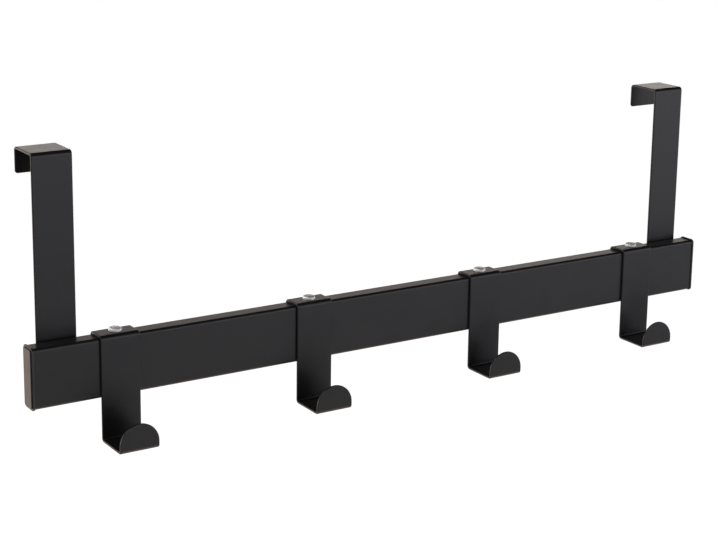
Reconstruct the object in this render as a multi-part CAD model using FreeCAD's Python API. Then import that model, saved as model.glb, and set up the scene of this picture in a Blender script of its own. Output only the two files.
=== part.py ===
import FreeCAD, Part
import math
import os

# Over door hook rail. A rectangular steel tube hangs on the top edge of a door by two bent strips, and
# carries a row of coat hooks. Each hook is a bent strip that saddles the tube, held by one screw from above.
# Millimetres. The origin is on the door's face, midway along the rail, level with the door's top edge.
# +X runs along the rail, +Y points into the door and +Z points up.

# Rail tube
tube_length = 502.0
tube_height = 36.5
tube_depth = 12.0
tube_wall = 1.0
tube_corner_radius = 1.8

# Steel strip that the hangers and the hooks are cut and bent from
strip_width = 25.0
strip_thickness = 1.5
strip_edge_break = 0.3
strip_corner_radius = 1.8
bend_inner_radius = 0.9

# Door hangers, spot welded to the back of the tube
door_edge_gap = 23.0
hanger_rise = 109.0
hanger_back_leg = 14.5
hanger_end_margin = 6.5
hanger_foot_margin = 2.5
weld_spacing = 18.0
weld_diameter = 5.0
weld_depth = 0.3

# Coat hooks
hook_count = 4
hook_hanger_gap = 9.0
hook_fit = 0.2
hook_rear_leg = 12.0
hook_drop = 25.0
hook_throat = 23.3
hook_tip_straight = 3.0

# Hook screws: thread forming, blunt end, pan head, cross recess
screw_diameter = 4.2
screw_length = 9.5
screw_head_diameter = 8.0
screw_head_height = 2.4
screw_head_side = 1.2
screw_head_flat_diameter = 5.8
screw_hole_clearance = 0.2
screw_thread_clearance = 0.05
recess_span = 4.4
recess_floor_span = 1.8
recess_width = 1.0
recess_depth = 1.5

# Plastic end caps
cap_overhang = 0.6
cap_flange_thickness = 1.25
cap_flange_break = 0.25
cap_pad_inset = 1.3
cap_pad_height = 0.75
cap_pad_break = 0.3
plug_length = 14.0
plug_wall = 1.4
rib_count = 3
rib_height = 0.7
rib_thickness = 1.0
rib_clearance = 0.05
least_corner_size = 0.3

# Limits used to pick and to ease edges
same_place = 0.01
square_cosine = 0.1
longest_break_share = 0.45

# Places that follow from the sizes
tube_back = -strip_thickness
tube_front = tube_back - tube_depth
tube_top = -hanger_rise
tube_bottom = tube_top - tube_height
tube_middle_y = tube_back - tube_depth / 2
tube_middle_z = tube_top - tube_height / 2
tube_end = tube_length / 2
hanger_x = tube_end - hanger_end_margin - strip_width / 2
outer_hook_x = hanger_x - strip_width - hook_hanger_gap
hook_leg_front = tube_front - hook_fit - strip_thickness
hook_seat = tube_bottom - hook_drop
hook_tip_back = hook_leg_front - hook_throat
hook_tip_centre = hook_seat + hook_tip_straight
screw_seat = tube_top + strip_thickness


def spaced(count, reach):
    """Even places along the rail, from -reach to +reach."""
    step = 2 * reach / (count - 1)
    return [-reach + i * step for i in range(count)]


def side_point(y, z):
    """Point in the plane X = 0, where the side profiles are drawn."""
    return FreeCAD.Vector(0, y, z)


def left_normal(start, end):
    """Unit vector to the left of a run, seen from +X with +Y to the right."""
    run = (end - start).normalize()
    return FreeCAD.Vector(0, -run.z, run.y)


def beside(corners, offset):
    """Corners of the line that runs beside a right angled line, at an offset to its left."""
    shifted = []
    for i, corner in enumerate(corners):
        move = FreeCAD.Vector(0, 0, 0)
        if i > 0:
            move += left_normal(corners[i - 1], corner)
        if i < len(corners) - 1:
            move += left_normal(corner, corners[i + 1])
        shifted.append(corner + move * offset)
    return shifted


def rounded_line(corners, radii):
    """Edges of a right angled line, with an arc of the given radius at each of its inner corners."""
    edges = []
    start = corners[0]
    for before, corner, after, radius in zip(corners, corners[1:], corners[2:], radii):
        back = (before - corner).normalize()
        ahead = (after - corner).normalize()
        arc_start = corner + back * radius
        arc_end = corner + ahead * radius
        arc_middle = corner + (back + ahead) * (radius * (1 - math.sqrt(0.5)))
        edges.append(Part.LineSegment(start, arc_start).toShape())
        edges.append(Part.Arc(arc_start, arc_middle, arc_end).toShape())
        start = arc_end
    edges.append(Part.LineSegment(start, corners[-1]).toShape())
    return edges


def bent_strip(corners):
    """Flat strip bent at right angles along the mid-line through the corners, centred on X = 0."""
    left_radii = []
    right_radii = []
    for before, corner, after in zip(corners, corners[1:], corners[2:]):
        turns_left = left_normal(before, corner).dot(after - corner) > 0
        left_radii.append(bend_inner_radius + (0 if turns_left else strip_thickness))
        right_radii.append(bend_inner_radius + (strip_thickness if turns_left else 0))
    left = beside(corners, strip_thickness / 2)
    right = beside(corners, -strip_thickness / 2)
    edges = rounded_line(left, left_radii)
    edges.append(Part.LineSegment(left[-1], right[-1]).toShape())
    edges += rounded_line(right[::-1], right_radii[::-1])
    edges.append(Part.LineSegment(right[0], left[0]).toShape())
    profile = Part.Face(Part.Wire(edges))
    profile.translate(FreeCAD.Vector(-strip_width / 2, 0, 0))
    return profile.extrude(FreeCAD.Vector(strip_width, 0, 0))


def corner_edges(strip, end_z):
    """The two short edges across the strip's thickness, where a leg ends at the given height."""
    found = []
    for edge in strip.Edges:
        box = edge.BoundBox
        at_end = abs(box.ZMin - end_z) < same_place and abs(box.ZMax - end_z) < same_place
        if at_end and box.XLength < same_place:
            found.append(edge)
    return found


def rim_edges(strip):
    """The edges where a broad side of the strip meets its narrow rim at a right angle."""
    found = []
    for edge in strip.Edges:
        middle = edge.valueAt((edge.FirstParameter + edge.LastParameter) / 2)
        normals = []
        for face in strip.ancestorsOfType(edge, Part.Face):
            u, v = face.Surface.parameter(middle)
            normals.append(face.normalAt(u, v))
        square = abs(normals[0].dot(normals[1])) < square_cosine
        if square and edge.Length > strip_thickness + same_place:
            found.append(edge)
    return found


def eased(strip):
    """Strip with its rim edges broken, as a deburred and powder coated blank has them."""
    size = min(strip_edge_break, longest_break_share * strip_thickness)
    return strip.makeChamfer(size, rim_edges(strip))


def door_hanger():
    """Strip from the tube's back up over the door's edge, with weld dimples at its foot."""
    foot = tube_bottom + hanger_foot_margin
    leg_y = -strip_thickness / 2
    plate_z = strip_thickness / 2
    back_y = door_edge_gap + strip_thickness / 2
    corners = [
        side_point(leg_y, foot),
        side_point(leg_y, plate_z),
        side_point(back_y, plate_z),
        side_point(back_y, -hanger_back_leg),
    ]
    strip = bent_strip(corners)
    ends = corner_edges(strip, foot) + corner_edges(strip, -hanger_back_leg)
    strip = eased(strip.makeFillet(strip_corner_radius, ends))
    for z in spaced(2, weld_spacing / 2):
        strip = strip.cut(weld_dimple(tube_middle_z + z))
    return strip


def weld_dimple(z):
    """Ball whose cap sinks into the door side of a hanger's leg, where an electrode pressed it."""
    ball_radius = ((weld_diameter / 2) ** 2 + weld_depth ** 2) / (2 * weld_depth)
    return Part.makeSphere(ball_radius, FreeCAD.Vector(0, ball_radius - weld_depth, z))


def half_round_waste():
    """What is cut from an upturned tip to leave a half round of the strip's full width."""
    radius = strip_width / 2
    spare = strip_thickness
    start_y = hook_tip_back - strip_thickness - spare
    depth = strip_thickness + 2 * spare
    block = Part.makeBox(
        strip_width + 2 * spare, depth, radius + spare,
        FreeCAD.Vector(-radius - spare, start_y, hook_tip_centre),
    )
    centre = FreeCAD.Vector(0, start_y, hook_tip_centre)
    return block.cut(Part.makeCylinder(radius, depth, centre, FreeCAD.Vector(0, 1, 0)))


def coat_hook():
    """Strip saddled over the tube, down its front, forward, and up to a half round tip."""
    rear_y = -strip_thickness / 2
    top_z = tube_top + strip_thickness / 2
    leg_y = hook_leg_front + strip_thickness / 2
    bottom_z = hook_seat - strip_thickness / 2
    tip_y = hook_tip_back - strip_thickness / 2
    rear_end = tube_top - hook_rear_leg
    corners = [
        side_point(rear_y, rear_end),
        side_point(rear_y, top_z),
        side_point(leg_y, top_z),
        side_point(leg_y, bottom_z),
        side_point(tip_y, bottom_z),
        side_point(tip_y, hook_tip_centre + strip_width / 2),
    ]
    strip = bent_strip(corners)
    strip = strip.makeFillet(strip_corner_radius, corner_edges(strip, rear_end))
    strip = eased(strip.cut(half_round_waste()))
    return strip.cut(screw_hole(screw_hole_clearance))


def screw_hole(clearance):
    """Round hole for a screw, down through the top plate of a hook and the top wall of the tube."""
    spare = strip_thickness
    depth = strip_thickness + tube_wall + 2 * spare
    start = FreeCAD.Vector(0, tube_middle_y, screw_seat + spare)
    return Part.makeCylinder(screw_diameter / 2 + clearance, depth, start, FreeCAD.Vector(0, 0, -1))


def screw_body():
    """Turned form of the screw: head and shank about the Z axis, seated at Z = 0."""
    head = screw_head_diameter / 2
    flat = screw_head_flat_diameter / 2
    shank = screw_diameter / 2
    points = [
        FreeCAD.Vector(0, 0, screw_head_height),
        FreeCAD.Vector(flat, 0, screw_head_height),
        FreeCAD.Vector(head, 0, screw_head_side),
        FreeCAD.Vector(head, 0, 0),
        FreeCAD.Vector(shank, 0, 0),
        FreeCAD.Vector(shank, 0, -screw_length),
        FreeCAD.Vector(0, 0, -screw_length),
    ]
    profile = Part.Face(Part.makePolygon(points + points[:1]))
    return profile.revolve(FreeCAD.Vector(0, 0, 0), FreeCAD.Vector(0, 0, 1), 360)


def recess_slot():
    """One tapered slot of the cross recess, along X, open at the top of the head."""
    floor_z = screw_head_height - recess_depth
    outline = Part.makePolygon([
        FreeCAD.Vector(-recess_span / 2, -recess_width / 2, screw_head_height),
        FreeCAD.Vector(-recess_floor_span / 2, -recess_width / 2, floor_z),
        FreeCAD.Vector(recess_floor_span / 2, -recess_width / 2, floor_z),
        FreeCAD.Vector(recess_span / 2, -recess_width / 2, screw_head_height),
        FreeCAD.Vector(-recess_span / 2, -recess_width / 2, screw_head_height),
    ])
    return Part.Face(outline).extrude(FreeCAD.Vector(0, recess_width, 0))


def hook_screw():
    """Pan head screw with a cross recess, seated on a hook's top plate."""
    along = recess_slot()
    across = recess_slot()
    across.rotate(FreeCAD.Vector(0, 0, 0), FreeCAD.Vector(0, 0, 1), 90)
    screw = screw_body().cut(along.fuse(across))
    screw.translate(FreeCAD.Vector(0, tube_middle_y, screw_seat))
    return screw


def rail_bar(start_x, length, grow, clipped=False):
    """Bar with the tube's outline, grown by a distance, and its long corners rounded or clipped."""
    corner = FreeCAD.Vector(start_x, tube_front - grow, tube_bottom - grow)
    bar = Part.makeBox(length, tube_depth + 2 * grow, tube_height + 2 * grow, corner)
    long_edges = [edge for edge in bar.Edges if edge.BoundBox.XLength > 0.5 * length]
    corner_size = max(tube_corner_radius + grow, least_corner_size)
    if clipped:
        return bar.makeChamfer(corner_size, long_edges)
    return bar.makeFillet(corner_size, long_edges)


def rail_tube():
    """Tube with a hole in its top wall for each hook's screw."""
    tube = rail_bar(-tube_end, tube_length, 0).cut(rail_bar(-tube_end, tube_length, -tube_wall))
    for x in spaced(hook_count, outer_hook_x):
        hole = screw_hole(screw_thread_clearance)
        hole.translate(FreeCAD.Vector(x, 0, 0))
        tube = tube.cut(hole)
    return tube


def eased_outer_rim(bar, size):
    """Bar with the rim of its +X end bevelled."""
    rim = [edge for edge in bar.Edges if edge.BoundBox.XMin > bar.BoundBox.XMax - same_place]
    return bar.makeChamfer(size, rim)


def end_cap():
    """Moulded cap for the +X end: flange and raised pad outside, ribbed hollow plug inside the tube."""
    flange = eased_outer_rim(rail_bar(tube_end, cap_flange_thickness, cap_overhang), cap_flange_break)
    pad_grow = cap_overhang - cap_pad_inset
    pad = eased_outer_rim(rail_bar(tube_end, cap_flange_thickness + cap_pad_height, pad_grow), cap_pad_break)
    rib_grow = -tube_wall - rib_clearance
    plug_grow = rib_grow - rib_height
    plug = rail_bar(tube_end - plug_length, plug_length, plug_grow, clipped=True)
    cap = flange.fuse([pad, plug])
    rib_pitch = plug_length / (rib_count + 1)
    for i in range(rib_count):
        rib_start = tube_end - (i + 1) * rib_pitch
        cap = cap.fuse(rail_bar(rib_start, rib_thickness, rib_grow, clipped=True))
    cap = cap.cut(rail_bar(tube_end - plug_length, plug_length, plug_grow - plug_wall, clipped=True))
    return cap.removeSplitter()


def save(shape, name):
    """Write one piece as a STEP file."""
    shape.exportStep("parts/" + name + ".step")


def main():
    """Build and write every piece."""
    os.makedirs("parts", exist_ok=True)
    save(rail_tube(), "rail_tube")
    for x, side in ((-hanger_x, "left"), (hanger_x, "right")):
        hanger = door_hanger()
        hanger.translate(FreeCAD.Vector(x, 0, 0))
        save(hanger, "door_hanger_" + side)
    for turn, side in ((180, "left"), (0, "right")):
        cap = end_cap()
        cap.rotate(FreeCAD.Vector(0, tube_middle_y, 0), FreeCAD.Vector(0, 0, 1), turn)
        save(cap, "end_cap_" + side)
    for i, x in enumerate(spaced(hook_count, outer_hook_x)):
        hook = coat_hook()
        screw = hook_screw()
        hook.translate(FreeCAD.Vector(x, 0, 0))
        screw.translate(FreeCAD.Vector(x, 0, 0))
        save(hook, "coat_hook_" + str(i + 1))
        save(screw, "hook_screw_" + str(i + 1))


main()
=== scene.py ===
"""Over door hook rail: a coated steel tube with four strip hooks, hung on a door's edge by two bent strips.

Each piece is a surface worked out with numpy round the packed frame, in metres and in the frame's own axes:
+X runs along the rail, +Y into the door and +Z up, and the origin is on the door's face, level with its top edge.
"""
import math

import bpy
import numpy as np
from bpy.props import FloatProperty, FloatVectorProperty, IntProperty, PointerProperty
from mathutils import Matrix, Vector


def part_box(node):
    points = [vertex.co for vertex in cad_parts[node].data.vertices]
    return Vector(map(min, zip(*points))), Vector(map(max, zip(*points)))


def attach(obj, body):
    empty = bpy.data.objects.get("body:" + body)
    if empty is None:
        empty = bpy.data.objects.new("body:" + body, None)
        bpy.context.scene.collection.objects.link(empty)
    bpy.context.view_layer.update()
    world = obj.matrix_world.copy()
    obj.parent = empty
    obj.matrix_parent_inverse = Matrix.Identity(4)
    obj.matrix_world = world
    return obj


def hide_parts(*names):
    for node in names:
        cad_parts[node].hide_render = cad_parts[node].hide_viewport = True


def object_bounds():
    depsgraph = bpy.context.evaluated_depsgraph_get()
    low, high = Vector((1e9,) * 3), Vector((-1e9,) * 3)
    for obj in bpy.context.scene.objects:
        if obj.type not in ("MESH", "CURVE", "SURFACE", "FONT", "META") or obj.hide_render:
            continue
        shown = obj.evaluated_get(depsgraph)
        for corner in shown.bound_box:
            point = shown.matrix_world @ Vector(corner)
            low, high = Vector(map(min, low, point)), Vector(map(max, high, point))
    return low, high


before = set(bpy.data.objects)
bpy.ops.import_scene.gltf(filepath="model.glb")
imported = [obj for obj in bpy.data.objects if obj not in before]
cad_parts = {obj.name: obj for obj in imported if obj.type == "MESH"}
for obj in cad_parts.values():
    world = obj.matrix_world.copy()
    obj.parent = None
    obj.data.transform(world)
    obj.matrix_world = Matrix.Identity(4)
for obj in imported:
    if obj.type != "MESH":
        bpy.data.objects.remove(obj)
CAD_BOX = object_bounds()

bl_info = {
    "name": "Over Door Hook Rail",
    "version": (1, 0, 0),
    "blender": (4, 5, 0),
    "location": "3D View > Sidebar > Hook Rail",
    "description": "Builds the coated tube, hangers, hooks, caps and screws of a hook rail, and a studio for it",
    "category": "Add Mesh",
}

HANGERS = ["door_hanger_left", "door_hanger_right"]
HOOKS = [f"coat_hook_{i + 1}" for i in range(4)]
SCREWS = [f"hook_screw_{i + 1}" for i in range(4)]

# Points that round to one place of a grid this fine become one vertex. The shift keeps coordinates off its borders
MERGE_DISTANCE = 1e-7
GRID_SHIFT = 0.318
STATION_DIGITS = 9
LEAST_LENGTH = 1e-12

# Steps in each bend, in the rounding of an edge, in the curved end of a strip, and from a hole's block to its circle
BEND_STEPS = 10
EDGE_STEPS = 4
END_STEPS = 8
HOLE_STEPS = 3
# Cells on each side of the block round a hole, and on each straight side of the tube's outline
SIDE_CELLS = 8

# Strips: cells across, cells on each side that end on a corner's arc, and the longest step along a straight run
HANGER_COLUMNS, HANGER_SPREAD, HANGER_STEP = 48, 5, 0.004
HOOK_COLUMNS, HOOK_SPREAD, HOOK_STEP = 24, 4, 0.001
# Rows over each weld mark, and how far they reach, in radii of the mark
WELD_ROWS, WELD_REACH = 17, 1.1
# A step that is longer than every run of the caps' profile, and so leaves each run whole
WHOLE_RUN = 0.5

# Screw heads: the dome's power, its inner disc as a share of the radius, and the lengths of small slants and rounds
DOME_POWER = 3.0
DISC_SHARE = 0.8
RECESS_SLANT, LOWER_EDGE = 0.00016, 0.0002
ARM_LINES, RIM_LINES, FLANK_LINES, LOWER_EDGE_LINES = 7, 4, 11, 4
# Screw threads: rows, half a ridge as a share of the pitch, and the lengths of plain shank, start and run-out
THREAD_ROWS, RIDGE_REACH = 90, 0.3
PLAIN_SHANK, THREAD_START, THREAD_RUN_OUT = 0.0008, 0.0006, 0.0016
# How far each screw is turned, in degrees
FIRST_TURN, NEXT_TURN = 17.0, 31.0

# Finishes: scale and detail of the noise in colour and gloss, the spread of the gloss, and the depths of the bumps
NOISE_LOW, NOISE_HIGH = 0.3, 0.7
SHADE_NOISE, GLOSS_NOISE, BUMP_DETAIL = (38.0, 3.0), (110.0, 4.0), 2.0
LEAST_GLOSS, MOST_GLOSS = 0.93, 1.07
RIPPLE_DEPTH, SPECK_DEPTH = 0.0002, 0.0001

# Studio: the floor's half width, lines, roughness and glow, and each lamp as name, place from the rail's middle,
# width, watts, tint and whether reflections show it
FLOOR_REACH, FLOOR_LINES, FLOOR_ROUGHNESS, FLOOR_GLOW = 8.0, 9, 0.9, 0.9
LAMPS = [
    ("front_lamp", (0.12, -0.74, -0.74), 0.70, 12.5, (1.0, 0.99, 1.0), False),
    ("key_lamp", (-1.4, -0.9, 1.6), 1.2, 9.0, (1.0, 0.98, 0.96), True),
    ("back_lamp", (-1.3, 0.9, 1.5), 1.2, 16.0, (1.0, 0.99, 0.97), True),
]

# The room that reflections show: brightness and tint over a direction's height, before and behind the rail, where the
# two blend, and where it darkens towards the camera
NEUTRAL, COOL, WARM, AMBER = (1.0, 1.0, 1.0), (0.98, 0.96, 1.05), (1.06, 0.98, 0.91), (1.15, 0.97, 0.82)
WALL_STRENGTH = 2.8
FRONT_WALL = [(-1.0, 1.10, AMBER), (-0.70, 0.80, AMBER), (-0.50, 0.42, WARM), (-0.35, 0.17, COOL), (-0.26, 0.19, COOL),
              (-0.15, 1.35, COOL), (-0.05, 1.60, COOL), (0.25, 0.90, COOL), (0.55, 0.04, COOL), (1.0, 0.01, NEUTRAL)]
BACK_WALL = [(-1.0, 0.70, AMBER), (-0.50, 0.90, AMBER), (-0.33, 1.05, AMBER), (0.0, 1.75, WARM), (0.15, 2.30, WARM),
             (0.19, 0.70, WARM), (0.28, 0.20, WARM), (0.38, 0.02, NEUTRAL), (1.0, 0.02, NEUTRAL)]
WALL_BLEND = 0.35
CAMERA_WAY, CAMERA_DARK = (-0.80, -0.60, 0.0), (0.22, 0.64)
# The light from all round: the heights between which it weakens, and its share from above
WEAKER, SHARE_ABOVE = (-0.10, 0.35), 0.25


def size(name, description, default):
    """A length that a user may change, in metres."""
    return FloatProperty(name=name, description=description, default=default, min=0.0, unit="LENGTH", precision=5)


def share(name, description, default):
    """A plain number from 0 to 1."""
    return FloatProperty(name=name, description=description, default=default, min=0.0, max=1.0, precision=3)


def colour(name, description, default):
    """A colour, as linear red, green and blue."""
    return FloatVectorProperty(name=name, description=description, default=default, size=3, subtype="COLOR",
                               min=0.0, max=1.0)


class StripSizes(bpy.types.PropertyGroup):
    """Sizes of the bent strips that the frame's boxes don't give"""

    bend_radius: size("Bend radius", "Inner radius of each bend", 0.0009)
    edge_radius: size("Edge radius", "Rounding of the strip's edges under its coat", 0.0006)
    corner_radius: size("Corner radius", "Rounding of the corners at a strip's square end", 0.0018)
    hanger_back_leg: size("Hanger back leg", "How far a hanger reaches down behind the door's edge", 0.0145)
    hook_rear_leg: size("Hook rear leg", "How far a hook reaches down behind the tube", 0.012)
    hook_fit: size("Hook fit", "Space between a hook's long leg and the front of the tube", 0.0002)
    tip_rise: size("Tip rise", "Height of a hook's upturned tip, from under its bottom plate", 0.017)
    hole_radius: size("Hole radius", "Radius of the hole in a hook's top plate", 0.0023)
    weld_spacing: size("Weld spacing", "Distance between the two weld marks of a hanger", 0.018)
    weld_radius: size("Weld radius", "Radius of a weld mark", 0.0025)
    weld_depth: size("Weld depth", "Depth of a weld mark at its middle", 0.0003)


class TubeSizes(bpy.types.PropertyGroup):
    """Sizes of the rail's tube and of its end caps"""

    wall: size("Wall", "Wall of the tube", 0.001)
    corner_radius: size("Corner radius", "Outer radius of the tube's long corners", 0.0018)
    end_edge: size("End edge", "Rounding of the outer edge at the tube's ends", 0.0003)
    hole_radius: size("Hole radius", "Radius of the hole under each screw", 0.00215)
    cap_overhang: size("Cap overhang", "How far a cap's flange stands proud of the tube", 0.0006)
    cap_flange: size("Cap flange", "Thickness of a cap's flange", 0.00125)
    cap_flange_edge: size("Flange edge", "Rounding of the flange's outer edge", 0.0002)
    cap_pad_inset: size("Pad inset", "Distance from the flange's edge to the raised pad", 0.0013)
    cap_pad_edge: size("Pad edge", "Rounding of the raised pad's edge", 0.0003)
    plug_wall: size("Plug wall", "Wall of the plug inside the tube", 0.0014)
    rib_height: size("Rib height", "Height of the ribs on the plug", 0.0007)
    rib_thickness: size("Rib thickness", "Thickness of the ribs on the plug", 0.001)
    rib_clearance: size("Rib clearance", "Space between the ribs and the tube's wall", 0.00005)
    rib_count: IntProperty(name="Ribs", description="Number of ribs on a plug", default=3, min=1, max=6)


class ScrewSizes(bpy.types.PropertyGroup):
    """Sizes of the pan head screws"""

    head_radius: size("Head radius", "Radius of the head", 0.004)
    head_side: size("Head side", "Height of the head's upright side", 0.0006)
    recess_reach: size("Recess reach", "Length of each arm of the cross recess, from the middle", 0.0022)
    recess_width: size("Recess width", "Width of the recess at the middle of the head", 0.0009)
    recess_floor: size("Recess floor", "Length of each arm at the recess's floor", 0.0009)
    recess_depth: size("Recess depth", "Depth of the cross recess", 0.0015)
    thread_radius: size("Thread radius", "Radius over the thread's crest", 0.0021)
    root_radius: size("Root radius", "Radius of the core between the threads", 0.00155)
    pitch: size("Pitch", "Distance from one thread to the next", 0.0014)


class Finishes(bpy.types.PropertyGroup):
    """Colours and gloss of the finishes"""

    coat: colour("Coat", "Colour of the black powder coat", (0.0115, 0.0111, 0.0115))
    coat_roughness: share("Coat roughness", "Roughness of the satin coat", 0.30)
    coat_specular: share("Coat specular", "Strength of the coat's mirror reflection", 0.5)
    plastic: colour("Plastic", "Colour of the moulded caps", (0.020, 0.0195, 0.0190))
    plastic_roughness: share("Plastic roughness", "Roughness of the moulded caps", 0.34)
    zinc: colour("Zinc", "Colour of the bright zinc plate", (0.95, 0.95, 0.94))
    zinc_roughness: share("Zinc roughness", "Roughness of the zinc plate", 0.60)


class StudioSettings(bpy.types.PropertyGroup):
    """Camera, floor and lamps"""

    camera_place: FloatVectorProperty(
        name="Camera place", description="Where the camera stands", size=3, subtype="XYZ", unit="LENGTH",
        default=(-0.59761, -0.89771, 0.19924))
    camera_turn: FloatVectorProperty(
        name="Camera turn", description="Yaw to the right, pitch up and roll of the camera", size=3,
        subtype="EULER", unit="ROTATION", default=tuple(math.radians(a) for a in (32.495, -12.861, 0.777)))
    lens: FloatProperty(name="Lens", description="Focal length in millimetres", default=86.69, min=1.0)
    shift: FloatProperty(name="Shift", description="Lens shift, which keeps uprights nearly upright", default=-0.1117)
    floor_drop: size("Floor drop", "Height of the rail over the floor", 1.0)
    floor: colour("Floor", "Colour of the pale floor", (0.86, 0.86, 0.86))
    world_light: FloatProperty(name="World light", description="Strength of the light from all round", default=0.45)
    behind_camera: share("Behind camera", "Share of the light left behind the camera in reflections", 0.35)


class HookRailSettings(bpy.types.PropertyGroup):
    """All that a user may change"""

    strip: PointerProperty(type=StripSizes)
    tube: PointerProperty(type=TubeSizes)
    screw: PointerProperty(type=ScrewSizes)
    finishes: PointerProperty(type=Finishes)
    studio: PointerProperty(type=StudioSettings)


class Patch:
    """A grid of points with a normal at each, and a mark on each cell that is a face."""

    def __init__(self, points, normals):
        self.points = np.asarray(points, float)
        self.normals = np.broadcast_to(np.asarray(normals, float), self.points.shape)
        self.cells = np.ones((self.points.shape[0] - 1, self.points.shape[1] - 1), bool)

    def moved(self, offset):
        """The same patch at another place."""
        copy = Patch(self.points + np.asarray(offset, float), self.normals)
        copy.cells = self.cells
        return copy

    def pierce(self, rows, columns, centre, radius):
        """Opens a round hole in a flat block of cells, from rows[0] to rows[1] and from columns[0] to columns[1].

        Each point on the block's border looks at the hole's centre and gives the point of the circle on that line, and
        the new patch blends straight from the border to the circle. Returns the new patch and the circle.
        """
        block = slice(rows[0], rows[1] + 1), slice(columns[0], columns[1] + 1)
        self.cells[rows[0]:rows[1], columns[0]:columns[1]] = False
        border = boundary(self.points[block])
        spokes = border - centre
        circle = centre + radius * spokes / np.linalg.norm(spokes, axis=1, keepdims=True)
        blend = np.linspace(0, 1, HOLE_STEPS + 1)[:, None, None]
        ring = Patch((1 - blend) * border + blend * circle, self.normals[rows[0], columns[0]])
        return ring, circle


def boundary(grid):
    """The closed loop of points round a grid: up its last column, back over its last row, and so on."""
    return np.concatenate([grid[:-1, -1], grid[-1, :0:-1], grid[:0:-1, 0], grid[0]])


def grid_normals(points):
    """Unit normals of a grid of points: the cross product of its central differences."""
    down = np.gradient(points, axis=0)
    over = np.gradient(points, axis=1)
    normals = np.cross(down, over)
    return normals / np.maximum(np.linalg.norm(normals, axis=-1, keepdims=True), LEAST_LENGTH)


def grid_cells(rows, columns):
    """The four points round each cell of a grid, whose points are numbered row by row."""
    index = np.arange(rows * columns).reshape(rows, columns)
    return np.stack([index[:-1, :-1], index[:-1, 1:], index[1:, 1:], index[1:, :-1]], axis=-1)


def hole_wall(x, y, rims):
    """The wall of an upright round hole between its rims, which looks at its axis."""
    rims = np.stack(rims)
    return Patch(rims, ((x, y, 0) - rims) * (1, 1, 0))


def add_object(name, data):
    """A new object at the origin, in the scene."""
    made = bpy.data.objects.new(name, data)
    bpy.context.scene.collection.objects.link(made)
    return made


def build_piece(name, patches, material, slot, *replaced):
    """Joins patches into one closed mesh, which rides on the root body in place of CAD nodes.

    Points that fall together become one vertex, a cell that has lost a side becomes a triangle, and each face is wound
    so that it looks the way that its normals point.
    """
    points = np.concatenate([p.points.reshape(-1, 3) for p in patches])
    normals = np.concatenate([p.normals.reshape(-1, 3) for p in patches])
    cells, first = [], 0
    for patch in patches:
        rows, columns = patch.points.shape[:2]
        cells.append(first + grid_cells(rows, columns)[patch.cells])
        first += rows * columns
    corners = np.concatenate(cells)
    keys = np.round(points / MERGE_DISTANCE + GRID_SHIFT).astype(np.int64)
    _, kept, merged = np.unique(keys, axis=0, return_index=True, return_inverse=True)
    merged = merged.reshape(-1)
    vertices = points[kept]

    across = vertices[merged[corners[:, 2]]] - vertices[merged[corners[:, 0]]]
    along = vertices[merged[corners[:, 3]]] - vertices[merged[corners[:, 1]]]
    facing = np.einsum("ij,ij->i", np.cross(across, along), normals[corners].sum(axis=1))
    corners[facing < 0] = corners[facing < 0][:, ::-1]

    own = merged[corners] != merged[np.roll(corners, -1, axis=1)]
    counts = own.sum(axis=1)
    corners, own, counts = corners[counts > 2], own[counts > 2], counts[counts > 2]
    loops = corners[own]

    mesh = bpy.data.meshes.new(name)
    mesh.vertices.add(len(vertices))
    mesh.vertices.foreach_set("co", vertices.astype(np.float32).ravel())
    mesh.loops.add(len(loops))
    mesh.loops.foreach_set("vertex_index", merged[loops].astype(np.int32))
    mesh.polygons.add(len(counts))
    mesh.polygons.foreach_set("loop_start", np.concatenate([[0], np.cumsum(counts)[:-1]]).astype(np.int32))
    mesh.polygons.foreach_set("use_smooth", np.ones(len(counts), bool))
    mesh.update(calc_edges=True)
    if mesh.validate():
        raise ValueError(f"{name}: the mesh had faces that Blender had to mend")
    lengths = np.linalg.norm(normals[loops], axis=1, keepdims=True)
    mesh.normals_split_custom_set((normals[loops] / lengths).tolist())
    mesh.materials.append(material)

    piece = add_object(name, mesh)
    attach(piece, "root")
    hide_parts(*replaced)


def in_order(*parts):
    """All stations of the parts in order, each once."""
    return np.unique(np.round(np.concatenate(parts), STATION_DIGITS))


def rounded_line(corners, radii, run_step):
    """A line of straight runs and arcs through corners in a plane, as (distances, points, directions).

    At a corner the line turns by an angle f from direction d to direction e. Its arc starts r * tan(f / 2) before the
    corner, and its point at angle a is start + r * (sin a * d + (1 - cos a) * g), where g is the unit vector across d
    on the inside of the turn. Straight runs have a station every run_step.
    """
    corners = np.asarray(corners, float)
    legs = np.diff(corners, axis=0)
    ways = legs / np.linalg.norm(legs, axis=1, keepdims=True)
    points, directions = [corners[:1]], [ways[:1]]
    for corner, d, e, r in zip(corners[1:-1], ways, ways[1:], radii):
        turn = math.acos(float(np.clip(d @ e, -1, 1)))
        g = (e - d * math.cos(turn)) / math.sin(turn)
        a = np.linspace(0, turn, BEND_STEPS + 1)[:, None]
        start = corner - d * r * math.tan(turn / 2)
        points.append(start + r * (np.sin(a) * d + (1 - np.cos(a)) * g))
        directions.append(np.cos(a) * d + np.sin(a) * g)
    points = np.concatenate(points + [corners[-1:]])
    directions = np.concatenate(directions + [ways[-1:]])
    steps = np.linalg.norm(np.diff(points, axis=0), axis=1)
    line = np.concatenate([[0], np.cumsum(steps)]), points, directions
    fill = [np.linspace(a, b, math.ceil((b - a) / run_step) + 1) for a, b in zip(line[0], line[0][1:])]
    stations = in_order(*fill)
    return stations, *along(line, stations)


def along(line, distances):
    """Points and directions of a line at distances along it, straight between its stations."""
    stations, points, directions = line

    def read(table):
        return np.stack([np.interp(distances, stations, column) for column in table.T], axis=-1)

    return read(points), read(directions)


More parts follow.
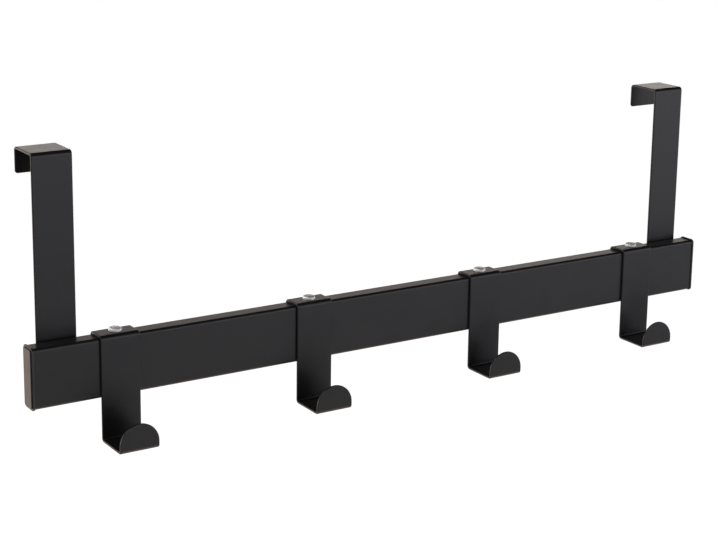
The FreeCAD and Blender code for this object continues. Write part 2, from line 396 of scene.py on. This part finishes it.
def rounded_end(across, half_width, radius, spread, inset):
    """The end of a flat strip's plan, from a straight row to its rounded end, as a Coons patch.

    Its sides are the first 45 degrees of the corner arcs, and its far edge is the rest of the arcs with the straight
    part between them. The patch is the blend between base and edge, plus the blend between the sides, less the blend
    of the four corner points. The outermost columns, spread of them on each side, end on an arc.
    """
    r = radius - inset
    flat = half_width - radius
    index = np.arange(len(across)) - (len(across) - 1) / 2
    free = (len(across) - 1) / 2 - spread
    turn = math.pi / 4 * np.sign(index) * np.clip((np.abs(index) - free) / spread, 0, 1)
    edge = np.stack([flat * np.clip(index / max(free, 1), -1, 1) + r * np.sin(turn), r * np.cos(turn)], axis=-1)
    base = np.stack([across * (half_width - inset), np.zeros(len(across))], axis=-1)
    lean = np.linspace(0, math.pi / 4, END_STEPS + 1)
    right = np.stack([flat + r * np.cos(lean), r * np.sin(lean)], axis=-1)[:, None]
    left = right * (-1, 1)
    up = np.linspace(0, 1, END_STEPS + 1)[:, None, None]
    over = ((1 + across) / 2)[None, :, None]
    corners = (1 - up) * ((1 - over) * base[0] + over * base[-1]) + up * ((1 - over) * edge[0] + over * edge[-1])
    return (1 - up) * base + up * edge + (1 - over) * left + over * right - corners


def strip_plan(rows, across, half_width, ends, spreads, inset):
    """A flat strip seen from above, as a grid of (across, along), inset from its outline by a distance."""
    middle = np.stack(np.broadcast_arrays(across * (half_width - inset), rows[:, None]), axis=-1)
    start = rounded_end(across, half_width, ends[0], spreads[0], inset)[:0:-1] * (1, -1) + (0, rows[0])
    finish = rounded_end(across, half_width, ends[1], spreads[1], inset)[1:] + (0, rows[-1])
    return np.concatenate([start, middle, finish])


def weld_marks(plan, places, radius, depth):
    """Depth of the round marks at a plan's points, and its slopes: depth * (1 - (r / radius) ** 2) ** 2."""
    sunk = np.zeros(plan.shape[:2])
    slope = np.zeros(plan.shape)
    for place in places:
        away = plan - (0, place)
        left = np.clip(1 - (away ** 2).sum(axis=-1) / radius ** 2, 0, 1)
        sunk += depth * left ** 2
        slope -= (4 * depth * left / radius ** 2)[..., None] * away
    return sunk, slope


def carried(line, plan, height, flat_normals):
    """Bends a flat strip along its line: a point goes to the line at its distance, and its height to the line's side.

    The line runs in the YZ plane, and its side is X cross its direction. Normals turn with the strip.
    """
    points, directions = along(line, plan[..., 1])
    sides = np.stack([-directions[..., 1], directions[..., 0]], axis=-1)
    place = points + np.asarray(height)[..., None] * sides
    flat = np.broadcast_to(np.asarray(flat_normals, float), plan.shape[:2] + (3,))
    turned = flat[..., 1:2] * directions + flat[..., 2:3] * sides
    return Patch(np.concatenate([plan[..., :1], place], axis=-1), np.concatenate([flat[..., :1], turned], axis=-1))


def bent_strip(line, width, thickness, sizes, ends, spreads, columns, marks=()):
    """Both faces and the rounded edge wall of a bent strip, as patches centred on X = 0.

    The faces are the plan inset by the edge radius. The wall is rings of the plan's outline: at angle t the ring is
    inset by e * (1 - cos t) and lies e * sin t from where the rounding starts, on either side of the middle.
    """
    e = sizes.edge_radius
    across = np.linspace(-1, 1, columns + 1)
    stations = line[0]
    last = stations[-1] - ends[1]
    rows = stations[(stations > ends[0]) & (stations < last)]
    reach = sizes.weld_radius * WELD_REACH
    welds = [np.linspace(place - reach, place + reach, WELD_ROWS) for place in marks]
    rows = in_order([ends[0]], rows, *welds, [last])

    def plan(inset):
        return strip_plan(rows, across, width / 2, ends, spreads, inset)

    face = plan(e)
    sunk, slope = weld_marks(face, marks, sizes.weld_radius, sizes.weld_depth)
    inner_normals = np.concatenate([slope, np.ones(face.shape[:2] + (1,))], axis=-1)
    inner = carried(line, face, thickness / 2 - sunk, inner_normals)
    outer = carried(line, face, np.full(face.shape[:2], -thickness / 2), (0, 0, -1))

    outward = (boundary(plan(0)) - boundary(face)) / e
    turn = np.linspace(math.pi / 2, 0, EDGE_STEPS + 1)
    turns = np.concatenate([turn, -turn[::-1]])
    middles = np.repeat([1, -1], EDGE_STEPS + 1) * (thickness / 2 - e)
    rings = np.stack([boundary(plan(e * (1 - math.cos(t)))) for t in turns])
    heights = np.broadcast_to((middles + e * np.sin(turns))[:, None], rings.shape[:2])
    normals = np.concatenate([
        np.cos(turns)[:, None, None] * outward,
        np.broadcast_to(np.sin(turns)[:, None, None], rings.shape[:2] + (1,)),
    ], axis=-1)
    return inner, outer, carried(line, rings, heights, normals)


def outline(half_depth, half_height, radius):
    """Rounded rectangle in the YZ plane, as closed loops of points and outward unit normals.

    A corner's arc has its centre a radius in from both sides, and each straight side is cut into equal cells.
    """
    a = np.linspace(0, math.pi / 2, BEND_STEPS + 1)
    points, normals = [], []
    for quarter, (sy, sz) in enumerate([(1, 1), (-1, 1), (-1, -1), (1, -1)]):
        angles = a + quarter * math.pi / 2
        ways = np.stack([np.cos(angles), np.sin(angles)], axis=-1)
        points.append(ways * radius + (sy * (half_depth - radius), sz * (half_height - radius)))
        normals.append(ways)
    loop, facing = [], []
    for quarter in range(4):
        after = points[(quarter + 1) % 4][0]
        run = np.linspace(points[quarter][-1], after, SIDE_CELLS + 1)[1:-1]
        loop += [points[quarter], run]
        facing += [normals[quarter], np.broadcast_to(normals[quarter][-1], run.shape)]
    loop.append(points[0][:1])
    facing.append(normals[0][:1])
    return np.concatenate(loop), np.concatenate(facing)


def add_node(tree, kind, settings=(), **sockets):
    """A new node, with its settings and the values of its named input sockets."""
    made = tree.nodes.new(kind)
    for key, value in dict(settings).items():
        setattr(made, key, value)
    for key, value in sockets.items():
        made.inputs[key.replace("_", " ")].default_value = value
    return made


def grain(tree, place, scale, detail):
    """Noise on the object's own coordinates, at a scale in waves to the metre."""
    noise = add_node(tree, "ShaderNodeTexNoise", Scale=scale, Detail=detail)
    tree.links.new(place, noise.inputs["Vector"])
    return noise.outputs["Fac"]


def change(tree, value, low, high, at_low, at_high, interpolation="LINEAR"):
    """Goes from one number to another as a value passes from low to high."""
    made = add_node(tree, "ShaderNodeMapRange", {"interpolation_type": interpolation}, From_Min=low, From_Max=high,
                    To_Min=at_low, To_Max=at_high)
    tree.links.new(value, made.inputs["Value"])
    return made.outputs["Result"]


def ease(tree, value, steps, at_low, at_high):
    """Goes smoothly from one number to another as a value passes from the lower to the upper step."""
    return change(tree, value, *steps, at_low, at_high, "SMOOTHSTEP")


def spread_noise(tree, noise, low, high):
    """Spreads noise, which keeps near its middle, over the range from low to high."""
    return change(tree, noise, NOISE_LOW, NOISE_HIGH, low, high)


def wall_colour(tree, height, stops):
    """A ramp of colours over the height of a direction, from -1 straight down to 1 straight up."""
    made = add_node(tree, "ShaderNodeValToRGB")
    tree.links.new(height, made.inputs["Fac"])
    marks = made.color_ramp.elements
    while len(marks) < len(stops):
        marks.new(0.5)
    for mark, (level, brightness, tint) in zip(marks, stops):
        mark.position = (level + 1) / 2
        mark.color = (*(brightness / WALL_STRENGTH * c for c in tint), 1.0)
    return made.outputs["Color"]


def new_material(name, specular):
    """A new material, its node tree and its shader."""
    made = bpy.data.materials.new(name)
    made.use_nodes = True
    shader = made.node_tree.nodes["Principled BSDF"]
    shader.inputs["Specular IOR Level"].default_value = specular
    return made, made.node_tree, shader


def finish(name, base, roughness, metallic, specular, fine, peel, fine_bump, peel_bump, unevenness):
    """A finish with fine grain and a slower ripple in its bump, and colour and gloss that wander a little."""
    made = bpy.data.materials.get(name)
    if made:
        return made
    made, tree, shader = new_material(name, specular)
    shader.inputs["Metallic"].default_value = metallic
    place = add_node(tree, "ShaderNodeTexCoord").outputs["Object"]

    shade = add_node(tree, "ShaderNodeMix", {"data_type": "RGBA"})
    shade.inputs["A"].default_value = (*(c * (1 - unevenness) for c in base), 1.0)
    shade.inputs["B"].default_value = (*(min(c * (1 + unevenness), 1.0) for c in base), 1.0)
    tree.links.new(spread_noise(tree, grain(tree, place, *SHADE_NOISE), 0.0, 1.0), shade.inputs["Factor"])
    tree.links.new(shade.outputs["Result"], shader.inputs["Base Color"])

    gloss = spread_noise(tree, grain(tree, place, *GLOSS_NOISE), roughness * LEAST_GLOSS, roughness * MOST_GLOSS)
    tree.links.new(gloss, shader.inputs["Roughness"])

    ripple = add_node(tree, "ShaderNodeBump", Strength=peel_bump, Distance=RIPPLE_DEPTH)
    tree.links.new(grain(tree, place, peel, BUMP_DETAIL), ripple.inputs["Height"])
    speck = add_node(tree, "ShaderNodeBump", Strength=fine_bump, Distance=SPECK_DEPTH)
    tree.links.new(grain(tree, place, fine, BUMP_DETAIL), speck.inputs["Height"])
    tree.links.new(ripple.outputs["Normal"], speck.inputs["Normal"])
    tree.links.new(speck.outputs["Normal"], shader.inputs["Normal"])
    return made


def coat_finish(settings):
    """Black satin powder coat."""
    look = settings.finishes
    return finish("black_satin_coat", look.coat, look.coat_roughness, 0.0, look.coat_specular,
                  fine=2600.0, peel=620.0, fine_bump=0.08, peel_bump=0.03, unevenness=0.06)


def plastic_finish(settings):
    """Moulded black plastic with a spark eroded grain."""
    look = settings.finishes
    return finish("moulded_black_plastic", look.plastic, look.plastic_roughness, 0.0, 0.5,
                  fine=3200.0, peel=900.0, fine_bump=0.35, peel_bump=0.08, unevenness=0.05)


def zinc_finish(settings):
    """Bright zinc plate."""
    look = settings.finishes
    return finish("bright_zinc_plate", look.zinc, look.zinc_roughness, 1.0, 0.5,
                  fine=4200.0, peel=1500.0, fine_bump=0.10, peel_bump=0.05, unevenness=0.05)


def rail_middle():
    """Middle of the tube's section and its half depth and half height, from the frame."""
    low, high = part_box("rail_tube")
    return (low.y + high.y) / 2, (low.z + high.z) / 2, (high.y - low.y) / 2, (high.z - low.z) / 2


def middle_x(node):
    """Where a node's middle lies along the rail."""
    low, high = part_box(node)
    return (low.x + high.x) / 2


class HOOKRAIL_OT_tube(bpy.types.Operator):
    """Carry the tube's rounded outline along the rail, outside and inside, with a hole under each screw"""

    bl_idname = "hook_rail.tube"
    bl_label = "Rail tube"

    def execute(self, context):
        settings = context.scene.hook_rail
        sizes = settings.tube
        low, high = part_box("rail_tube")
        y, z, half_depth, half_height = rail_middle()
        edge = sizes.end_edge
        reach = np.round([low.x + edge, high.x - edge], STATION_DIGITS)
        holes = [middle_x(node) for node in SCREWS]
        block = half_depth - sizes.corner_radius
        blocks = [np.linspace(x - block, x + block, SIDE_CELLS + 1) for x in holes]
        top_columns = (BEND_STEPS, BEND_STEPS + SIDE_CELLS)

        def ring(x, inset):
            loop, facing = outline(half_depth - inset, half_height - inset, sizes.corner_radius - inset)
            flat = np.zeros((len(loop), 1))
            return np.concatenate([flat + x, loop + (y, z)], axis=1), np.concatenate([flat, facing], axis=1)

        patches, circles = [], []
        for inset, side, span in ((0.0, 1, reach), (sizes.wall, -1, (low.x, high.x))):
            stations = in_order(span, *blocks)
            points, facing = (np.stack(table) for table in zip(*(ring(x, inset) for x in stations)))
            sleeve = Patch(points, side * facing)
            patches.append(sleeve)
            for x in holes:
                row = int(np.argmin(np.abs(stations - (x - block))))
                centre = np.array([x, y, z + half_height - inset])
                border, circle = sleeve.pierce((row, row + SIDE_CELLS), top_columns, centre, sizes.hole_radius)
                patches.append(border)
                circles.append(circle)
        inner_ends = points[0], points[-1]
        turns = np.linspace(0, math.pi / 2, EDGE_STEPS + 1)
        for start, side, inner_end in zip(reach, (-1, 1), inner_ends):
            rings = [ring(start + side * edge * math.sin(t), edge * (1 - math.cos(t))) for t in turns]
            rim, facing = (np.stack(table) for table in zip(*rings))
            out = np.array([side, 0, 0])
            patches.append(Patch(rim, np.cos(turns)[:, None, None] * facing + np.sin(turns)[:, None, None] * out))
            patches.append(Patch(np.stack([rim[-1], inner_end]), out))
        for x, outer, inner in zip(holes, circles, circles[len(holes):]):
            patches.append(hole_wall(x, y, (outer, inner)))
        build_piece("tube", patches, coat_finish(settings), "rail_coat", "rail_tube")
        return {"FINISHED"}


class HOOKRAIL_OT_caps(bpy.types.Operator):
    """Carry each end cap's profile round the tube's outline, from the raised pad to the ribbed plug"""

    bl_idname = "hook_rail.caps"
    bl_label = "End caps"

    def execute(self, context):
        settings = context.scene.hook_rail
        sizes = settings.tube
        y, z, half_depth, half_height = rail_middle()
        tube_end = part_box("rail_tube")[1].x
        low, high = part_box("end_cap_right")
        plug_end, pad_face = low.x, high.x
        flange_face = tube_end + sizes.cap_flange
        pad = sizes.cap_pad_inset - sizes.cap_overhang
        rib = sizes.wall + sizes.rib_clearance
        plug = rib + sizes.rib_height
        hollow = plug + sizes.plug_wall
        least = sizes.rib_clearance  # also rounds the corners that are left nearly sharp
        profile = [(pad_face, half_depth), (pad_face, pad), (flange_face, pad), (flange_face, -sizes.cap_overhang),
                   (tube_end, -sizes.cap_overhang), (tube_end, plug)]
        radii = [sizes.cap_pad_edge, least, sizes.cap_flange_edge, sizes.cap_flange_edge, least]
        pitch = (tube_end - plug_end) / (sizes.rib_count + 1)
        for i in range(sizes.rib_count):
            start = tube_end - (i + 1) * pitch
            profile += [(start + sizes.rib_thickness, plug), (start + sizes.rib_thickness, rib),
                        (start, rib), (start, plug)]
            radii += [least] * 4
        profile += [(plug_end, plug), (plug_end, hollow), (tube_end, hollow), (tube_end, half_depth)]
        radii += [least] * 3
        _, line, directions = rounded_line(profile, radii, WHOLE_RUN)

        rings, normals = [], []
        for (x, inset), (dx, dinset) in zip(line, directions):
            corner = min(max(sizes.corner_radius - inset, least), half_depth - inset)
            loop, facing = outline(half_depth - inset, half_height - inset, corner)
            flat = np.zeros((len(loop), 1))
            rings.append(np.concatenate([flat + x, loop + (y, z)], axis=1))
            normals.append(np.concatenate([flat - dinset, -dx * facing], axis=1))
        rings, normals = np.stack(rings), np.stack(normals)
        for side, node in ((-1, "end_cap_left"), (1, "end_cap_right")):
            flip = (side, 1, 1)
            build_piece(node.replace("end_", "rail_"), [Patch(rings * flip, normals * flip)],
                        plastic_finish(settings), "cap_plastic", node)
        return {"FINISHED"}


class HOOKRAIL_OT_hangers(bpy.types.Operator):
    """Bend a strip for each hanger, from the back of the tube up over the door's edge"""

    bl_idname = "hook_rail.hangers"
    bl_label = "Door hangers"

    def execute(self, context):
        settings = context.scene.hook_rail
        sizes = settings.strip
        low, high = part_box(HANGERS[0])
        thickness = high.z
        half = thickness / 2
        corners = [(high.y - half, -sizes.hanger_back_leg), (high.y - half, half), (-half, half), (-half, low.z)]
        line = rounded_line(corners, [sizes.bend_radius + half] * 2, HANGER_STEP)
        weld_middle = line[0][-1] - (rail_middle()[1] - low.z)
        marks = [weld_middle - sizes.weld_spacing / 2, weld_middle + sizes.weld_spacing / 2]
        patches = bent_strip(line, high.x - low.x, thickness, sizes, (sizes.corner_radius,) * 2,
                             (HANGER_SPREAD,) * 2, HANGER_COLUMNS, marks)
        for node in HANGERS:
            placed = [patch.moved((middle_x(node), 0, 0)) for patch in patches]
            build_piece(node.replace("door_", "over_door_"), placed, coat_finish(settings), "hanger_coat", node)
        return {"FINISHED"}


class HOOKRAIL_OT_hooks(bpy.types.Operator):
    """Bend a strip for each hook, saddled on the tube, down its front and up to a half round tip"""

    bl_idname = "hook_rail.hooks"
    bl_label = "Coat hooks"

    def execute(self, context):
        settings = context.scene.hook_rail
        sizes = settings.strip
        low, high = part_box(HOOKS[0])
        tube_low, tube_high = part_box("rail_tube")
        width = high.x - low.x
        thickness = high.z - tube_high.z
        half = thickness / 2
        leg_y = tube_low.y - sizes.hook_fit - half
        corners = [
            (high.y - half, tube_high.z - sizes.hook_rear_leg),
            (high.y - half, high.z - half),
            (leg_y, high.z - half),
            (leg_y, low.z + half),
            (low.y + half, low.z + half),
            (low.y + half, low.z + sizes.tip_rise),
        ]
        middle, reach = HOOK_COLUMNS // 2, SIDE_CELLS // 2
        line = rounded_line(corners, [sizes.bend_radius + half] * 4, HOOK_STEP)
        ends, spreads = (sizes.corner_radius, width / 2), (HOOK_SPREAD, middle)
        patches = list(bent_strip(line, width, thickness, sizes, ends, spreads, HOOK_COLUMNS))
        screw_y = rail_middle()[0]
        circles = []
        for face, z in zip(patches[:2], (tube_high.z, high.z)):
            level = np.abs(face.points[:, 0, 2] - z) < MERGE_DISTANCE
            row = int(np.argmin(np.where(level, np.abs(face.points[:, 0, 1] - screw_y), np.inf)))
            centre = np.array([0.0, screw_y, z])
            border, circle = face.pierce((row - reach, row + reach), (middle - reach, middle + reach), centre,
                                         sizes.hole_radius)
            patches.append(border)
            circles.append(circle)
        patches.append(hole_wall(0, screw_y, circles))
        for node in HOOKS:
            placed = [patch.moved((middle_x(node), 0, 0)) for patch in patches]
            build_piece(node.replace("coat_hook", "strip_hook"), placed, coat_finish(settings), "hook_coat", node)
        return {"FINISHED"}


def screw_patches(sizes, seat, head_top, tip):
    """A pan head screw about the Z axis: domed top with a cross recess, side and seat, and threaded shank.

    The dome is a superellipse: at distance r its height over the head's side is h * (1 - (r / R) ** n) ** (1 / n).
    The top is a square grid (a, b) bent to a disc, x = a * sqrt(1 - b * b / 2) and y = b * sqrt(1 - a * a / 2), so the
    recess's arms lie along grid lines and narrow outwards. Its depth ramps down from each arm's end and sides.
    """
    power, lift = DOME_POWER, np.array([0, 0, 1.0])
    radius, side = sizes.head_radius, sizes.head_side
    dome = head_top - seat - side
    disc = DISC_SHARE * radius
    arm_end, arm_floor = sizes.recess_reach / disc, sizes.recess_floor / disc
    arm_side = sizes.recess_width / 2 / disc
    slant = RECESS_SLANT / disc
    outside = arm_side + slant / 2
    half = np.unique(np.concatenate([
        [0, arm_side - slant, arm_side], np.linspace(outside, arm_end, ARM_LINES),
        np.linspace(arm_end, 1, RIM_LINES), [arm_floor]]))
    lines = np.concatenate([-half[:0:-1], half])
    a, b = np.meshgrid(lines, lines, indexing="ij")
    x, y = a * np.sqrt(1 - b * b / 2) * disc, b * np.sqrt(1 - a * a / 2) * disc
    far, near = np.maximum(np.abs(a), np.abs(b)), np.minimum(np.abs(a), np.abs(b))
    lengthways = np.clip((arm_end - far) / (arm_end - arm_floor), 0, 1)
    sideways = np.clip((arm_side - near) / slant, 0, 1)
    level = side + dome * (1 - (np.hypot(x, y) / radius) ** power) ** (1 / power)
    top = np.stack([x, y, seat + level - sizes.recess_depth * np.minimum(lengthways, sideways)], axis=-1)
    patches = [Patch(top, grid_normals(top))]

    rim = boundary(top)
    angle = np.arctan2(rim[:, 1], rim[:, 0])
    ways = np.stack([np.cos(angle), np.sin(angle), np.zeros(len(angle))], axis=-1)
    turn = np.linspace(math.acos(DISC_SHARE ** (power / 2)), 0, FLANK_LINES)[:, None, None]
    around = radius * np.cos(turn) ** (2 / power) * ways
    flank = around + (seat + side + dome * np.sin(turn) ** (2 / power)) * lift
    lean = np.cos(turn) ** (2 - 2 / power) / radius * ways + np.sin(turn) ** (2 - 2 / power) / dome * lift
    patches.append(Patch(flank, lean))

    edge = LOWER_EDGE
    turn = np.linspace(0, math.pi / 2, LOWER_EDGE_LINES)[:, None, None]
    patches.append(Patch(np.stack([radius * ways + (seat + side) * lift, radius * ways + (seat + edge) * lift]), ways))
    underside = (radius - edge + edge * np.cos(turn)) * ways + (seat + edge - edge * np.sin(turn)) * lift
    patches.append(Patch(underside, np.cos(turn) * ways - np.sin(turn) * lift))
    shank = sizes.thread_radius
    patches.append(Patch(np.stack([underside[-1], shank * ways + seat * lift]), -lift))

    fall = np.linspace(0, seat - tip, THREAD_ROWS)[:, None]
    wave = (fall / sizes.pitch - angle / (2 * math.pi)) % 1
    ridge = np.clip(1 - np.abs(wave - 0.5) / RIDGE_REACH, 0, 1)
    plain = np.clip(1 - (fall - PLAIN_SHANK) / THREAD_START, 0, 1)
    run_out = np.clip((seat - tip - fall) / THREAD_RUN_OUT, 0, 1)
    height = sizes.root_radius + (shank - sizes.root_radius) * np.maximum(ridge * run_out, plain)
    thread = height[..., None] * ways + (seat - fall)[..., None] * lift
    padded = np.concatenate([thread[:, -2:-1], thread, thread[:, 1:2]], axis=1)
    normals = grid_normals(padded)[:, 1:-1]
    patches.append(Patch(thread, normals * np.sign((normals * ways).sum(axis=-1, keepdims=True))))
    patches.append(Patch(np.stack([thread[-1], thread[-1] * (0, 0, 1)]), -lift))
    return patches


class HOOKRAIL_OT_screws(bpy.types.Operator):
    """Turn a pan head screw for each hook, each with its cross recess at its own angle"""

    bl_idname = "hook_rail.screws"
    bl_label = "Hook screws"

    def execute(self, context):
        settings = context.scene.hook_rail
        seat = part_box(HOOKS[0])[1].z
        low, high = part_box(SCREWS[0])
        patches = screw_patches(settings.screw, seat, high.z, low.z)
        for i, node in enumerate(SCREWS):
            angle = math.radians(FIRST_TURN + NEXT_TURN * i)
            turn = np.array(Matrix.Rotation(angle, 3, "Z"))
            place = (middle_x(node), rail_middle()[0], 0)
            placed = [Patch(patch.points @ turn.T + place, patch.normals @ turn.T) for patch in patches]
            build_piece(node.replace("hook_screw", "pan_head_screw"), placed, zinc_finish(settings),
                        "screw_zinc", node)
        return {"FINISHED"}


class HOOKRAIL_OT_studio(bpy.types.Operator):
    """Lay the pale floor, light the studio and set up the camera"""

    bl_idname = "hook_rail.studio"
    bl_label = "Studio"

    def execute(self, context):
        scene = context.scene
        studio = scene.hook_rail.studio
        scene.view_settings.view_transform = "Standard"
        self.lay_floor(studio)
        self.light_world(scene, studio)
        self.hang_lamps()
        self.set_camera(scene, studio)
        return {"FINISHED"}

    def lay_floor(self, studio):
        """A flat grid of floor, far under the rail."""
        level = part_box("rail_tube")[0].z - studio.floor_drop
        steps = np.linspace(-FLOOR_REACH, FLOOR_REACH, FLOOR_LINES)
        x, y = np.meshgrid(steps, steps)
        points = np.stack([x, y, np.full(x.shape, level)], axis=-1).reshape(-1, 3)
        cells = grid_cells(FLOOR_LINES, FLOOR_LINES).reshape(-1, 4)
        mesh = bpy.data.meshes.new("floor")
        mesh.from_pydata(points.tolist(), [], cells.tolist())
        material, tree, shader = new_material("pale_floor", 0.0)
        shader.inputs["Base Color"].default_value = (*studio.floor, 1.0)
        shader.inputs["Roughness"].default_value = FLOOR_ROUGHNESS
        seen = add_node(tree, "ShaderNodeLightPath")
        glow = add_node(tree, "ShaderNodeMath", {"operation": "MULTIPLY"})
        glow.inputs[1].default_value = FLOOR_GLOW
        tree.links.new(seen.outputs["Is Camera Ray"], glow.inputs[0])
        shader.inputs["Emission Color"].default_value = (1, 1, 1, 1)
        tree.links.new(glow.outputs["Value"], shader.inputs["Emission Strength"])
        mesh.materials.append(material)
        floor = add_object("floor", mesh)
        floor.visible_glossy = False

    def light_world(self, scene, studio):
        """White for the camera, a soft light from all round that is weaker from above, and a room for reflections.

        The room's brightness depends on a direction's height, by one ramp for the side in front of the rail and one
        for the side behind it, and it falls off towards the dark place where the camera stands.
        """
        world = bpy.data.worlds.new("studio")
        world.use_nodes = True
        scene.world = world
        tree = world.node_tree
        light = tree.nodes["Background"]
        light.inputs["Color"].default_value = (1, 1, 1, 1)
        white = add_node(tree, "ShaderNodeBackground", Color=(1, 1, 1, 1), Strength=1.0)
        room = add_node(tree, "ShaderNodeBackground")

        way = add_node(tree, "ShaderNodeTexCoord").outputs["Generated"]
        parts = add_node(tree, "ShaderNodeSeparateXYZ")
        tree.links.new(way, parts.inputs["Vector"])
        height = change(tree, parts.outputs["Z"], -1.0, 1.0, 0.0, 1.0)
        side = ease(tree, parts.outputs["Y"], (-WALL_BLEND, WALL_BLEND), 0.0, 1.0)
        walls = add_node(tree, "ShaderNodeMix", {"data_type": "RGBA"})
        tree.links.new(side, walls.inputs["Factor"])
        tree.links.new(wall_colour(tree, height, FRONT_WALL), walls.inputs["A"])
        tree.links.new(wall_colour(tree, height, BACK_WALL), walls.inputs["B"])
        tree.links.new(walls.outputs["Result"], room.inputs["Color"])
        towards_camera = add_node(tree, "ShaderNodeVectorMath", {"operation": "DOT_PRODUCT"})
        towards_camera.inputs[1].default_value = CAMERA_WAY
        tree.links.new(way, towards_camera.inputs[0])
        dark = ease(tree, towards_camera.outputs["Value"], CAMERA_DARK, WALL_STRENGTH,
                    WALL_STRENGTH * studio.behind_camera)
        tree.links.new(dark, room.inputs["Strength"])
        soft = ease(tree, parts.outputs["Z"], WEAKER, studio.world_light, studio.world_light * SHARE_ABOVE)
        tree.links.new(soft, light.inputs["Strength"])

        seen = add_node(tree, "ShaderNodeLightPath")
        direct = add_node(tree, "ShaderNodeMath", {"operation": "MAXIMUM"})
        tree.links.new(seen.outputs["Is Camera Ray"], direct.inputs[0])
        tree.links.new(seen.outputs["Is Transmission Ray"], direct.inputs[1])
        in_mirror = add_node(tree, "ShaderNodeMixShader")
        in_view = add_node(tree, "ShaderNodeMixShader")
        tree.links.new(seen.outputs["Is Glossy Ray"], in_mirror.inputs["Fac"])
        tree.links.new(light.outputs["Background"], in_mirror.inputs[1])
        tree.links.new(room.outputs["Background"], in_mirror.inputs[2])
        tree.links.new(direct.outputs["Value"], in_view.inputs["Fac"])
        tree.links.new(in_mirror.outputs["Shader"], in_view.inputs[1])
        tree.links.new(white.outputs["Background"], in_view.inputs[2])
        tree.links.new(in_view.outputs["Shader"], tree.nodes["World Output"].inputs["Surface"])

    def hang_lamps(self):
        """A wide soft lamp low in front, out of the reflections, and two high on the left, in front and behind."""
        low, high = CAD_BOX
        aim = (low + high) / 2
        for name, offset, across, watts, tint, reflected in LAMPS:
            data = bpy.data.lights.new(name, "AREA")
            data.shape, data.size, data.energy, data.color = "SQUARE", across, watts, tint
            made = add_object(name, data)
            turn = (-Vector(offset)).to_track_quat("-Z", "Y").to_matrix().to_4x4()
            made.matrix_world = Matrix.Translation(aim + Vector(offset)) @ turn
            made.visible_camera, made.visible_glossy = False, reflected

    def set_camera(self, scene, studio):
        """The photograph's viewpoint: yaw about Z, then pitch and roll about the camera's own axes."""
        yaw, pitch, roll = studio.camera_turn
        data = bpy.data.cameras.new("camera")
        data.lens = studio.lens
        data.shift_y = studio.shift
        camera = add_object("camera", data)
        camera.matrix_world = (Matrix.Translation(studio.camera_place) @ Matrix.Rotation(-yaw, 4, "Z")
                               @ Matrix.Rotation(math.pi / 2 + pitch, 4, "X") @ Matrix.Rotation(roll, 4, "Z"))
        scene.camera = camera


class HOOKRAIL_PT_sidebar(bpy.types.Panel):
    """Lists the operators that build the rail, and the settings that they read"""

    bl_idname = "HOOKRAIL_PT_sidebar"
    bl_label = "Hook Rail"
    bl_space_type = "VIEW_3D"
    bl_region_type = "UI"
    bl_category = "Hook Rail"

    def draw(self, context):
        for operator in OPERATORS:
            self.layout.operator(operator.bl_idname)
        settings = context.scene.hook_rail
        for group in (settings.strip, settings.tube, settings.screw, settings.finishes, settings.studio):
            box = self.layout.box()
            box.label(text=type(group).__doc__)
            for name in type(group).__annotations__:
                box.prop(group, name)


OPERATORS = [HOOKRAIL_OT_tube, HOOKRAIL_OT_caps, HOOKRAIL_OT_hangers, HOOKRAIL_OT_hooks, HOOKRAIL_OT_screws,
             HOOKRAIL_OT_studio]
CLASSES = [StripSizes, TubeSizes, ScrewSizes, Finishes, StudioSettings, HookRailSettings, *OPERATORS,
           HOOKRAIL_PT_sidebar]


def register():
    """Adds the classes and the scene's settings."""
    for item in CLASSES:
        bpy.utils.register_class(item)
    bpy.types.Scene.hook_rail = PointerProperty(type=HookRailSettings)


def unregister():
    """Takes the settings and the classes away again."""
    del bpy.types.Scene.hook_rail
    for item in reversed(CLASSES):
        bpy.utils.unregister_class(item)


def main():
    """Builds every piece and the studio."""
    register()
    bpy.ops.hook_rail.tube()
    bpy.ops.hook_rail.caps()
    bpy.ops.hook_rail.hangers()
    bpy.ops.hook_rail.hooks()
    bpy.ops.hook_rail.screws()
    bpy.ops.hook_rail.studio()


if __name__ == "__main__":
    main()
